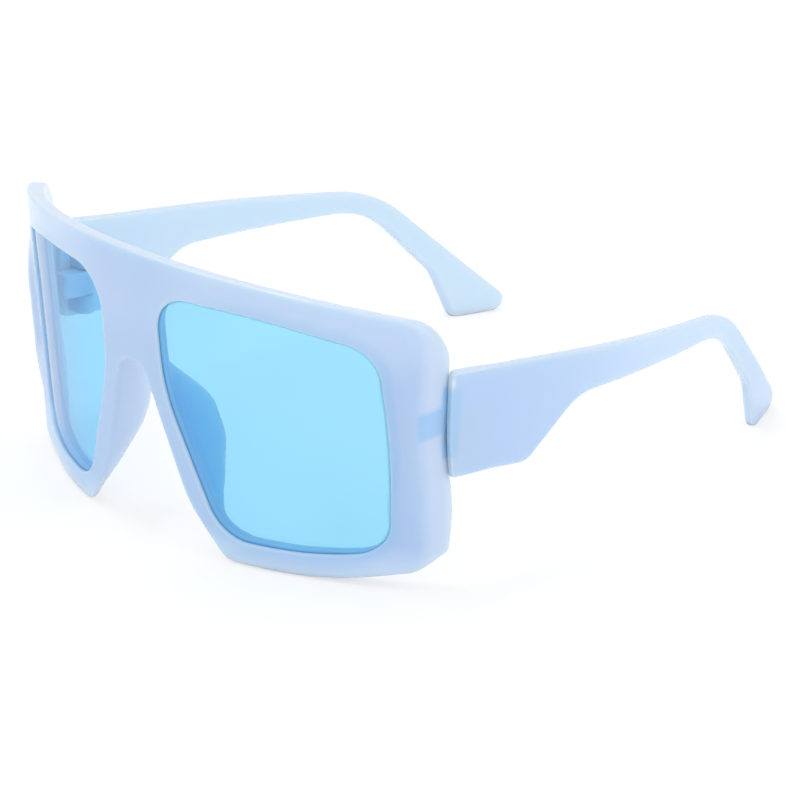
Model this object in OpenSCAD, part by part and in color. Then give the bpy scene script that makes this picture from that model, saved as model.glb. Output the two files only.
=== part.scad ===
// Oversized wrap sunglasses with a flat brow, open and standing on the lower rim and the temple tips.
// +X is the viewer's right seen from the front, which is the wearer's left. +Y runs back along
// the temples and +Z is up. The origin is the middle of the bounding box, on the floor.

/* [Front] */
// Width of the front, from end to end
frame_w = 142; // [125:1:155]
// Height of the front at the middle of the brow
frame_h = 75.9; // [68:0.2:84]
// Radius of the front's outer face, seen from above
wrap_r = 100.4; // [92:0.2:130]
// Thickness of the front
front_t = 4.8; // [4:0.1:5.5]
// How much lower the flat top lies at the front's ends than in its middle
brow_drop = 10.5; // [4:0.5:14]
// How much narrower the front is on each side at its foot
foot_taper = 1.8; // [0:0.1:4]
// Radius of the upper outer corners
brow_corner_r = 6; // [2:0.5:8]
// Radius of the lower outer corners
foot_corner_r = 8; // [3:0.5:12]
// Radius of the upper back corner of each end, seen from the side
end_top_r = 6.5; // [2:0.5:7]
// Radius of the lower back corner of each end, seen from the side
end_foot_r = 9; // [3:0.5:12]
// Lean of the front from upright when the glasses stand, its top forwards
front_lean = 4.65; // [2:0.05:7]

/* [Nose] */
// Height of the nose arch
nose_h = 46.4; // [40:0.2:52]
// Width of the nose arch at its foot
nose_foot_w = 49.2; // [44:0.2:54]
// Width of the nose arch just under its round top
nose_top_w = 7.2; // [5:0.2:10]
// Height at which the nose arch starts to open towards its foot
nose_flare_z = 14; // [10:0.5:18]
// Width of the nose arch at that height
nose_flare_w = 29; // [26:0.5:32]
// Length of each nose pad along the arch
pad_len = 34; // [26:0.5:36]
// How far each nose pad stands out behind the front
pad_depth = 9; // [5:0.2:11]
// Thickness of each nose pad
pad_t = 2.6; // [2.4:0.1:2.8]
// Angle at which each nose pad opens backwards
pad_flare = 15; // [8:1:20]

/* [Lenses] */
// Width of each lens opening, across its own plane
opening_w = 57; // [50:0.5:60]
// Height of each lens opening
opening_h = 59.4; // [52:0.2:62]
// Height of the lens opening's foot above the front's foot
opening_z = 6.6; // [4:0.2:9]
// Distance between the middles of the two lenses
lens_pitch = 76.2; // [72:0.2:84]
// Thickness of each lens
lens_t = 2; // [1.6:0.1:2.4]
// Depth of the lens below the front's outer face
lens_setback = 0.9; // [0.6:0.1:1.2]
// How far the lens reaches into its groove
lens_bite = 1.1; // [0.6:0.1:1.6]
// Clearance round the lens in its groove
lens_fit = 0.08; // [0.04:0.02:0.2]

/* [Temples] */
// Length of each temple, from the level of the front's ends to the end of the tip
temple_len = 143.5; // [125:0.5:150]
// Thickness of each temple
temple_t = 3.4; // [3:0.1:4.4]
// How far each temple's outer face stands proud of the front's end
temple_proud = 1.9; // [0.4:0.1:2.8]
// Height of the temple's upper edge at the hinge
temple_top_z = 51.8; // [48:0.1:54]
// Depth of the wide part of the temple at the hinge
temple_depth = 25.2; // [23:0.2:28]
// Slope of the temple's upper edge
temple_slope = 0.046; // [0:0.002:0.08]
// Fall of the temples to the back when the glasses stand
rest_tilt = 5; // [3:0.1:7]
// Radius in which the temple turns inwards to the tip, seen from above
bow_r = 245; // [230:5:340]
// Where the temple starts to turn inwards
bow_start = 37; // [20:1:50]

/* [Hinges] */
// Diameter of the hinge knuckles
knuckle_d = 5; // [4.8:0.1:6]
// Height of the whole hinge
hinge_h = 16.6; // [15:0.2:20]
// Height of the front's middle knuckle
mid_knuckle_h = 6.4; // [5:0.2:9]
// Height of the middle of the hinge
hinge_z = 36.4; // [34:0.2:38]
// Distance of the hinge axis behind the level of the front's ends
hinge_y = 4.6; // [4:0.1:6]
// Gap between the knuckles
knuckle_gap = 0.2; // [0.1:0.05:0.4]
// Gap between the moving temple and the front
swing_gap = 0.4; // [0.3:0.05:0.8]
// Diameter of the hinge screw's shank
screw_d = 1.8; // [1.4:0.1:2.2]
// Diameter of the hinge screw's head
screw_head_d = 3.2; // [2.6:0.1:3.6]
// Height of the hinge screw's head
screw_head_h = 1.1; // [0.8:0.1:1.4]
// Radial clearance of the screw in the front's knuckle
pivot_fit = 0.05; // [0.02:0.01:0.1]
// Radial clearance of the screw in the temple's knuckles
thread_fit = 0.02; // [0.01:0.01:0.05]

/* [Hidden] */
$fn = 96;
// Overrun of every cut past the faces that it goes through
over = 1;
// Largest turn between two points of a rounded corner, in degrees
corner_step = 9;
frame_colour = [0.70, 0.79, 0.94];
lens_colour = [0.38, 0.80, 0.98, 0.6];
screw_colour = [0.72, 0.73, 0.75];

// Front, measured from the level of its ends and from its foot
half_w = frame_w / 2;
inner_r = wrap_r - front_t;
wrap_y = sqrt(wrap_r * wrap_r - half_w * half_w);
bow_depth = wrap_r - wrap_y;
// Angle from the middle of the front to the middle of each lens
lens_angle = asin(lens_pitch / 2 / wrap_r);
// Depth in Y at which the front's outer face lies at a distance x from the middle
function face_y(x, r = wrap_r) = wrap_y - sqrt(r * r - x * x);

// Brow: one flat top that slopes down to the back, so that the curved front dips towards its ends
brow_slope = brow_drop / bow_depth;
end_h = frame_h - brow_drop;
function brow_z(y) = end_h - brow_slope * y;
// The same top seen from the front, on the line that touches it at the ends
brow_touch = brow_slope * half_w / wrap_y;
end_back_y = face_y(half_w, inner_r);

// Lower rim and sides: places across the half width, and heights on the front's height
side_foot_share = 0.26;
side_blend_r = 60;
foot_place_share = 0.64;
foot_outer_rise_share = 0.02;
foot_inner_rise_share = 0.007;
foot_blend_r = 60;
nose_foot_r = 4.5;
nose_flare_r = 30;
nose_top_r = nose_top_w / 2 - nose_foot_r * 0.02;

// Nose pads: where the outline of a pad turns, as shares of its length and depth
pad_root = 2;
pad_low_share = 0.42;
pad_high_share = 0.74;
pad_start_share = 0.16;
pad_tip_r = 7;
pad_end_r = 4;
nose_rise = nose_h - nose_flare_z;
nose_run = (nose_flare_w - nose_top_w) / 2;
nose_angle = atan(nose_run / nose_rise);

// Lens opening: corners as shares of its width and height, with a radius at each
opening_shares = [[-0.5, 1.01], [0.01, 0.995], [0.482, 0.875], [0.507, 0.46],
    [0.482, 0.012], [0.12, -0.008], [-0.262, 0], [-0.5, 0.6]];
opening_radii = [9.5, 110, 10.5, 120, 9, 100, 12, 45];
opening_corners = [for (s = opening_shares) [s[0] * opening_w, opening_z + s[1] * opening_h]];

// Temple: outline seen from the side, as shares of its length and of its height at the hinge
temple_low_z = temple_top_z - temple_depth;
bend_y = 0.707 * temple_len;
bend_z = temple_top_z - temple_slope * bend_y;
tip_back_shares = [1, 0.225];
tip_foot_share = 0.876;
tip_heel_shares = [0.831, 0.43];
bend_under_shares = [0.686, 0.82];
waist_shares = [0.277, 0.76];
belly_shares = [0.163, 0.49];
// How far the tip's foot corner lies under the floor before it is rounded and worn flat
foot_sink_share = 0.26;
function side_point(shares) = [shares[0] * temple_len, shares[1] * temple_top_z];
front_edge_r = 1.2;
bend_r = 30;
tip_back_r = 3.2;
tip_foot_r = 2.4;
tip_heel_r = 9;
bend_under_r = 22;
waist_r = 15;
belly_r = 6;

// Angle between the front and the square to the temples
pantoscopic = front_lean + rest_tilt;
// The plane where the temple meets the front's end
butt_y = end_back_y + swing_gap;
temple_out = half_w + temple_proud;
temple_in = temple_out - temple_t;
knuckle_r = knuckle_d / 2;
hinge_x = temple_in - swing_gap - knuckle_r;
hinge_low = hinge_z - hinge_h / 2;
mid_low = hinge_z - mid_knuckle_h / 2;
mid_high = hinge_z + mid_knuckle_h / 2;

// Slot of the screw head, on the head's own size
slot_w = screw_head_d / 5;
slot_depth = screw_head_h / 2;

function unit(v) = v / norm(v);
function turned(v, a) = [v[0] * cos(a) - v[1] * sin(a), v[0] * sin(a) + v[1] * cos(a)];

// Points of an arc of radius r that rounds the corner b between a and c
function corner_arc(a, b, c, r) =
    r <= 0 ? [b] :
    let (
        u = unit(a - b),
        w = unit(c - b),
        half = acos(u * w) / 2,
        centre = b + unit(u + w) * r / sin(half),
        start = b + u * r / tan(half) - centre,
        sweep = (180 - 2 * half) * -sign(cross(u, w)),
        steps = max(2, ceil(abs(sweep) / corner_step))
    )
    [for (i = [0 : steps]) centre + turned(start, sweep * i / steps)];

// A closed outline with every corner rounded by its own radius
function rounded(p, r) =
    let (n = len(p))
    [for (i = [0 : n - 1]) each corner_arc(p[(i + n - 1) % n], p[i], p[(i + 1) % n], r[i])];

// A convex outline moved outwards by g on every side
function grown(p, g) =
    let (n = len(p))
    [for (i = [0 : n - 1])
        let (
            u = unit(p[(i + n - 1) % n] - p[i]),
            w = unit(p[(i + 1) % n] - p[i]),
            half = acos(u * w) / 2
        )
        p[i] - unit(u + w) * g / sin(half)];

// Outline of the front seen from the front: the corners of the wearer's left half, and their radii
half_corners = concat(
    [[0, end_h + brow_touch * half_w], [half_w, end_h], [half_w, side_foot_share * frame_h]],
    [
        [half_w - foot_taper, foot_outer_rise_share * frame_h],
        [foot_place_share * half_w, 0],
        [nose_foot_w / 2, foot_inner_rise_share * frame_h],
        [nose_flare_w / 2, nose_flare_z],
        [nose_top_w / 2, nose_h]
    ]);
half_radii = concat(
    [0, brow_corner_r, side_blend_r],
    [foot_corner_r, foot_blend_r, nose_foot_r, nose_flare_r, nose_top_r]);
half_count = len(half_corners);
front_corners = concat(half_corners,
    [for (i = [half_count - 1 : -1 : 1]) [-half_corners[i][0], half_corners[i][1]]]);
front_radii = concat(half_radii, [for (i = [half_count - 1 : -1 : 1]) half_radii[i]]);
front_outline = rounded(front_corners, front_radii);

// Profile of the front seen from the side: its sloping top and the rounded backs of its ends
side_corners = [
    [-wrap_r, -over],
    [-wrap_r, brow_z(-wrap_r)],
    [end_back_y, brow_z(end_back_y)],
    [end_back_y, -over]
];
side_profile = rounded(side_corners, [0, 0, end_top_r, end_foot_r]);

// Lift that stands the glasses on the floor, and the floor's height in the temples' own frame
function front_stand_z(y, z) = y * sin(front_lean) + z * cos(front_lean);
lift = -min([for (p = front_outline) front_stand_z(face_y(p[0]), p[1])]);
function floor_z(y) = y * tan(rest_tilt) - lift / cos(rest_tilt);

// Outline of the temple seen from the side, y and z square to the hinge axis
front_edge_lean = tan(pantoscopic);
function edge_y(z) = butt_y / cos(pantoscopic) - z * front_edge_lean;
temple_corners = [
    [edge_y(temple_top_z), temple_top_z],
    [bend_y, bend_z],
    side_point(tip_back_shares),
    [tip_foot_share * temple_len, floor_z(tip_foot_share * temple_len) - foot_sink_share * tip_foot_r],
    side_point(tip_heel_shares),
    side_point(bend_under_shares),
    side_point(waist_shares),
    side_point(belly_shares),
    [edge_y(temple_low_z), temple_low_z]
];
temple_radii = [front_edge_r, bend_r, tip_back_r, tip_foot_r, tip_heel_r, bend_under_r,
    waist_r, belly_r, front_edge_r];
temple_outline = rounded(temple_corners, temple_radii);

// Shift that puts the origin under the middle of the glasses
function temple_stand_y(p) = p[0] * cos(rest_tilt) + p[1] * sin(rest_tilt);
front_reach = -bow_depth * cos(front_lean) - frame_h * sin(front_lean);
back_reach = max([for (p = temple_outline) temple_stand_y(p)]);
shift = -(front_reach + back_reach) / 2;

// Stands a shape drawn in the front's own frame on the floor
module front_stand() {
    translate([0, shift, lift]) rotate([front_lean, 0, 0]) children();
}

// Stands a shape drawn in the temples' own frame on the floor
module temple_stand() {
    translate([0, shift, lift]) rotate([-rest_tilt, 0, 0]) children();
}

// Everything under the floor
module below_floor() {
    translate([-frame_w, -temple_len, -frame_h]) cube([2 * frame_w, 2 * temple_len, frame_h]);
}

// Draws on the wearer's left, or mirrored on the right
module side(left) {
    if (left) children();
    else mirror([1, 0, 0]) children();
}

// A curved plate between two radii round the front's upright axis, higher than the front
module wrap_ring(outer, inner) {
    translate([0, wrap_y, -over]) difference() {
        cylinder(h = frame_h + 3 * over, r = outer);
        translate([0, 0, -over]) cylinder(h = frame_h + 5 * over, r = inner);
    }
}

// Extrudes an outline given in x and z from y_low to y_high
module through(y_low, y_high) {
    translate([0, y_high, 0]) rotate([90, 0, 0]) linear_extrude(y_high - y_low) children();
}

// A straight bar with the lens outline grown by g, square to the middle of the wearer's left lens
module lens_bar(g) {
    translate([0, wrap_y, 0]) rotate([0, 0, lens_angle])
        through(-wrap_r - over, -inner_r * cos(lens_angle))
            polygon(rounded(grown(opening_corners, g), [for (r = opening_radii) r + g]));
}

// The wearer's left lens, or with a fit the groove that it sits in
module lens_body(fit) {
    intersection() {
        wrap_ring(wrap_r - lens_setback + fit, wrap_r - lens_setback - lens_t - fit);
        lens_bar(lens_bite + fit);
    }
}

// The opening through the wearer's left side of the front
module lens_opening() {
    intersection() {
        wrap_ring(wrap_r + over, inner_r);
        lens_bar(0);
    }
}

// Outline of a nose pad: depth behind the front's inner face, and length along the arch
pad_corners = [
    [-pad_root, 0],
    [0, 0],
    [pad_depth, pad_low_share * pad_len],
    [pad_depth, pad_high_share * pad_len],
    [0, pad_len],
    [-pad_root, pad_len]
];
pad_radii = [0, pad_end_r, pad_tip_r, pad_tip_r, pad_end_r, 0];

// Room for the pads seen from the front: beside the nose arch, set in a little from its edge
pad_inset = 0.6;
pad_room = [
    [nose_foot_w / 2 + pad_inset, 0],
    [nose_flare_w / 2 + pad_inset, nose_flare_z],
    [nose_top_w / 2 + pad_inset, nose_h],
    [half_w, nose_h],
    [half_w, 0]
];

// The nose pad on the wearer's left, moulded in one with the front
module nose_pad() {
    intersection() {
        translate([nose_flare_w / 2, face_y(nose_flare_w / 2, inner_r), nose_flare_z])
            rotate([0, -nose_angle, 0]) rotate([0, 0, -pad_flare])
                translate([0, 0, -pad_start_share * pad_len]) rotate([90, 0, 90])
                    linear_extrude(pad_t) polygon(rounded(pad_corners, pad_radii));
        through(-wrap_r, wrap_r) polygon(pad_room);
    }
}

// The fixed half of the wearer's left hinge: a block that ends in the middle knuckle
module fixed_knuckle() {
    translate([hinge_x, 0, mid_low]) union() {
        translate([0, hinge_y, 0]) cylinder(h = mid_knuckle_h, d = knuckle_d);
        translate([-knuckle_r, hinge_y - wrap_r, 0]) cube([knuckle_d, wrap_r, mid_knuckle_h]);
    }
}

// The bore in which the screw turns in the front's knuckle
module pivot_bore() {
    translate([hinge_x, hinge_y, mid_low - over])
        cylinder(h = mid_knuckle_h + 2 * over, r = screw_d / 2 + pivot_fit);
}

// The bore and countersink that hold the screw in the temple's knuckles
module screw_bore() {
    translate([hinge_x, hinge_y, hinge_low - over])
        cylinder(h = hinge_h + 2 * over, r = screw_d / 2 + thread_fit);
    translate([hinge_x, hinge_y, hinge_low + hinge_h - screw_head_h])
        cylinder(h = screw_head_h + over, r = screw_head_d / 2 + thread_fit);
}

// Turns from the front's own frame to the temples' own frame
module temple_frame() {
    rotate([-pantoscopic, 0, 0]) children();
}

module front_half(left) {
    side(left) {
        nose_pad();
        intersection() {
            temple_frame() fixed_knuckle();
            translate([0, wrap_y, -over]) cylinder(h = frame_h, r = wrap_r - front_t / 2);
        }
    }
}

module front_cuts(left) {
    side(left) {
        lens_opening();
        lens_body(lens_fit);
        temple_frame() pivot_bore();
    }
}

// The front: brow, rims, bridge, nose pads and the hinges' middle knuckles in one moulding
module front_frame() {
    color(frame_colour) front_stand() difference() {
        union() {
            intersection() {
                wrap_ring(wrap_r, inner_r);
                through(-wrap_r, wrap_y / 2) polygon(front_outline);
                translate([-half_w - over, 0, 0]) rotate([90, 0, 90])
                    linear_extrude(frame_w + 2 * over) polygon(side_profile);
            }
            front_half(true);
            front_half(false);
        }
        front_cuts(true);
        front_cuts(false);
    }
}

module lens(left) {
    color(lens_colour) front_stand() side(left) lens_body(0);
}

// The strip that the temple follows, seen from above: straight, then turning inwards
module temple_strip() {
    translate([0, 0, -over]) linear_extrude(temple_len) {
        translate([temple_in, -temple_len]) square([temple_t, temple_len + bow_start]);
        translate([temple_out - bow_r, bow_start]) intersection() {
            difference() {
                circle(r = bow_r);
                circle(r = bow_r - temple_t);
            }
            square([bow_r + over, temple_len]);
        }
    }
}

// One turning knuckle and the web that ties it to the temple
module turning_knuckle(low, high) {
    translate([hinge_x, hinge_y, low]) cylinder(h = high - low, r = knuckle_r);
    translate([hinge_x, 0, 0]) rotate([90, 0, 90]) linear_extrude(knuckle_r + swing_gap + temple_t / 2)
        polygon([
            [max(hinge_y - knuckle_r, edge_y(low)), low],
            [hinge_y + knuckle_r, low],
            [hinge_y + knuckle_r, high],
            [max(hinge_y - knuckle_r, edge_y(high)), high]
        ]);
}

// A temple with its tip, in one moulding with its two knuckles
module temple(left) {
    color(frame_colour) difference() {
        temple_stand() side(left) difference() {
            union() {
                intersection() {
                    translate([temple_in - temple_len, 0, 0]) rotate([90, 0, 90])
                        linear_extrude(temple_len + 2 * temple_t) polygon(temple_outline);
                    temple_strip();
                }
                turning_knuckle(hinge_low, mid_low - knuckle_gap);
                turning_knuckle(mid_high + knuckle_gap, hinge_low + hinge_h);
            }
            screw_bore();
        }
        below_floor();
    }
}

// The slotted screw that is the hinge's pin
module hinge_screw(left) {
    color(screw_colour) temple_stand() side(left) translate([hinge_x, hinge_y, hinge_low]) difference() {
        union() {
            cylinder(h = hinge_h, d = screw_d);
            translate([0, 0, hinge_h - screw_head_h]) cylinder(h = screw_head_h, d = screw_head_d);
        }
        translate([-screw_head_d, -slot_w / 2, hinge_h - slot_depth])
            cube([2 * screw_head_d, slot_w, slot_depth + over]);
    }
}

front_frame();
lens(true);  // left_lens
lens(false);  // right_lens
temple(true);  // left_temple
temple(false);  // right_temple
hinge_screw(true);  // left_hinge_screw
hinge_screw(false);  // right_hinge_screw
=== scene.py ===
"""Oversized flat-browed sunglasses in milky ice-blue plastic with sky-blue lenses.

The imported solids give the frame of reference. The front, the lenses and the temples are built again here as
mouldings with rounded edges, each from its outline and a bending rule, and take the places of their solids.
Sizes are in millimetres in the classes and in metres in the meshes. A Span is a range over which a value changes.
"""

import logging
import math
from dataclasses import dataclass, field
from enum import Enum
from functools import cached_property
from typing import Callable, Optional, Sequence

import bmesh
import bpy
import numpy as np
from mathutils import Matrix, Vector
from mathutils.geometry import delaunay_2d_cdt

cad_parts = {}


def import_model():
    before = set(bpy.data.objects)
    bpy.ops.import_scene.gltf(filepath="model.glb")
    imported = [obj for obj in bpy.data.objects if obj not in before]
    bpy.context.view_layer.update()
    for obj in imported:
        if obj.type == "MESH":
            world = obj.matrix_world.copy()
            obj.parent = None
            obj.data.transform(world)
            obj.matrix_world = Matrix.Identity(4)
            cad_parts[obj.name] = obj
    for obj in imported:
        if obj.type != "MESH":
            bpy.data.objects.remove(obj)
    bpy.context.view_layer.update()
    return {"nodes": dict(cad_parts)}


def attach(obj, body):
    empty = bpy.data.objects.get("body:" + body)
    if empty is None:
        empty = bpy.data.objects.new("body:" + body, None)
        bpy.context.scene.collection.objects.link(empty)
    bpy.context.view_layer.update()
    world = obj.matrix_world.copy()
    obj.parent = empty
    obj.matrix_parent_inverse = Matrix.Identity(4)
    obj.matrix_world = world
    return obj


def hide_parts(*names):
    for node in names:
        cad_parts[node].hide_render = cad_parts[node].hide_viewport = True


MM = 0.001
MERGED = 2e-6  # Points closer than this become one, in metres.
SLIVER = 5e-6  # Edges shorter than this are taken out, in metres.
SAME = 1e-5  # Points of a flat face closer than this count as one, in millimetres.
SHARP = math.radians(50.0)  # Edges sharper than this stay sharp.
WHITE = (1.0, 1.0, 1.0, 1.0)
LOG = logging.getLogger("sunglasses")
Points = np.ndarray
Socket = bpy.types.NodeSocket
Colour = tuple[float, float, float]
Place = tuple[float, float, float]
Span = tuple[float, float]
Rule = Callable[[Points, Points], Points]


class Side(Enum):
    """The wearer's side that a piece is on, as the sign of its X."""

    LEFT = 1.0
    RIGHT = -1.0

    def name_of(self, piece: str) -> str:
        """Returns the piece's name with the side in front."""
        return f"{self.name.lower()}_{piece}"

    def mirrored(self, outline: Points) -> Points:
        """Returns a left-hand outline as it is on this side, still counter-clockwise."""
        return outline if self is Side.LEFT else (outline * [-1.0, 1.0])[::-1]


class Bend(Enum):
    """The rule by which a flat plate is bent into its moulding."""

    WRAP = "wrap"
    TEMPLE = "temple"


# ---- Outlines ----


def rounded(corners: Sequence[Sequence[float]], radii: Sequence[float], step: float = 6.0,
            straight: float = 89.9) -> Points:
    """Rounds every corner of a closed outline by its own radius.

    Args:
        corners: The outline's corners, counter-clockwise.
        radii: One radius a corner; zero leaves it sharp.
        step: Largest turn between two points of an arc, in degrees.
        straight: Half the angle from which a corner counts as straight, in degrees.

    Returns:
        The outline's points as an array of two columns.
    """
    pts = np.asarray(corners, float)
    out: list[Points] = []
    for i, b in enumerate(pts):
        u, w = pts[i - 1] - b, pts[(i + 1) % len(pts)] - b
        u /= np.linalg.norm(u)
        w /= np.linalg.norm(w)
        half = math.acos(max(-1.0, min(1.0, float(u @ w)))) / 2
        if radii[i] <= 0 or half > math.radians(straight):
            out.append(b[None])
            continue
        mid = (u + w) / np.linalg.norm(u + w)
        centre = b + mid * radii[i] / math.sin(half)
        start = b + u * radii[i] / math.tan(half) - centre
        sweep = -math.copysign(math.pi - 2 * half, u[0] * w[1] - u[1] * w[0])
        turn = np.linspace(0.0, sweep, max(2, math.ceil(abs(math.degrees(sweep)) / step)) + 1)
        c, s = np.cos(turn), np.sin(turn)
        out.append(np.stack([centre[0] + start[0] * c - start[1] * s, centre[1] + start[0] * s + start[1] * c], 1))
    return np.concatenate(out)


def resampled(outline: Points, spacing: float, least: int = 12) -> Points:
    """Spreads points evenly along a closed outline.

    Args:
        outline: The outline's points.
        spacing: The distance wanted between two points.
        least: Smallest number of points.

    Returns:
        The new points, first point kept.
    """
    closed = np.vstack([outline, outline[:1]])
    length = np.concatenate([[0.0], np.cumsum(np.linalg.norm(np.diff(closed, axis=0), axis=1))])
    at = np.linspace(0.0, length[-1], max(least, int(round(length[-1] / spacing))), endpoint=False)
    return np.stack([np.interp(at, length, closed[:, k]) for k in (0, 1)], 1)


def offset(outline: Points, distance: float | Points, sharpest: float = 0.6) -> Points:
    """Moves a counter-clockwise outline to its left by a distance.

    Args:
        outline: The outline's points.
        distance: How far, for all or for each point; positive moves inwards.
        sharpest: Cosine of half the sharpest turn whose corner is still followed in full.

    Returns:
        The moved points, as many as before.
    """
    after = np.roll(outline, -1, 0) - outline
    after /= np.maximum(np.linalg.norm(after, axis=1, keepdims=True), 1e-9)
    both = after + np.roll(after, 1, 0)
    left = np.stack([-both[:, 1], both[:, 0]], 1)
    size = np.linalg.norm(left, axis=1, keepdims=True)
    return outline + left / size * distance / np.clip(size / 2, sharpest, 1.0)


def eased(value: Points, low: float, high: float) -> Points:
    """Goes smoothly from 0 at low to 1 at high."""
    t = np.clip((value - low) / (high - low), 0.0, 1.0)
    return t * t * (3 - 2 * t)


def fading(value: Points, low: float, high: float) -> Points:
    """Goes smoothly from 1 at low to 0 at high."""
    return 1.0 - eased(value, low, high)


def band(value: Points, low: float, high: float, soft: float = 0.6) -> Points:
    """Is 1 between low and high and falls softly to 0 outside them."""
    return eased(value, low - soft, low + soft) * fading(value, high - soft, high + soft)


def raised(least: float, share: Points) -> Points:
    """Goes from a least value to 1 as a share goes from 0 to 1."""
    return least + (1.0 - least) * share


def nearest(points: Points, rim: Points) -> Points:
    """Returns each point's distance from the nearest point of a rim."""
    return np.array([np.min(np.hypot(*(rim - p).T)) for p in points])


def inside(points: Points, loops: Sequence[Points]) -> Points:
    """Tells which points lie in the area between an outline and its holes.

    Args:
        points: The points to test.
        loops: The outline and its holes, each closed.

    Returns:
        A mask with one value a point.
    """
    mask = np.zeros(len(points), bool)
    x, y = points[:, 0, None], points[:, 1, None]
    for loop in loops:
        a, b = loop, np.roll(loop, -1, 0)
        crosses = (a[:, 1] > y) != (b[:, 1] > y)
        slope = (b[:, 0] - a[:, 0]) / np.where(b[:, 1] == a[:, 1], 1e-12, b[:, 1] - a[:, 1])
        mask ^= (crosses & (x < a[:, 0] + (y - a[:, 1]) * slope)).sum(1) % 2 == 1
    return mask


# ---- Plates ----


@dataclass
class Edge:
    """One closed edge of a moulded plate.

    Attributes:
        outline: Its points, counter-clockwise.
        hole: Whether the material lies outside it.
        radius: Radius of the rounding on the front face.
        back_radius: The same on the back face.
        soft: Share of the rounding that each point of the outline keeps.
        drawn: Moves the outline with depth, for walls that aren't square to the plate.
    """

    outline: Points
    hole: bool = False
    radius: float = 1.2
    back_radius: float = 1.2
    soft: Optional[Points] = None
    drawn: Optional[Rule] = None

    def ring(self, inset: float, depth: float, thickness: float) -> tuple[Points, Points]:
        """Moves the outline into the material.

        Args:
            inset: How far it moves.
            depth: Its depth under the front face.
            thickness: Thickness of the plate.

        Returns:
            The moved points and the depth of each.
        """
        soft = np.ones(len(self.outline)) if self.soft is None else self.soft
        low, high = self.radius, thickness - self.back_radius
        if depth <= low:
            deep = depth * soft
        elif depth >= high:
            deep = thickness - (thickness - depth) * soft
        else:
            share = (depth - low) / (high - low)
            deep = (1 - share) * low * soft + share * (thickness - self.back_radius * soft)
        flat = offset(self.outline, (-inset if self.hole else inset) * soft[:, None])
        return (self.drawn(flat, deep) if self.drawn else flat), deep


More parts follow.
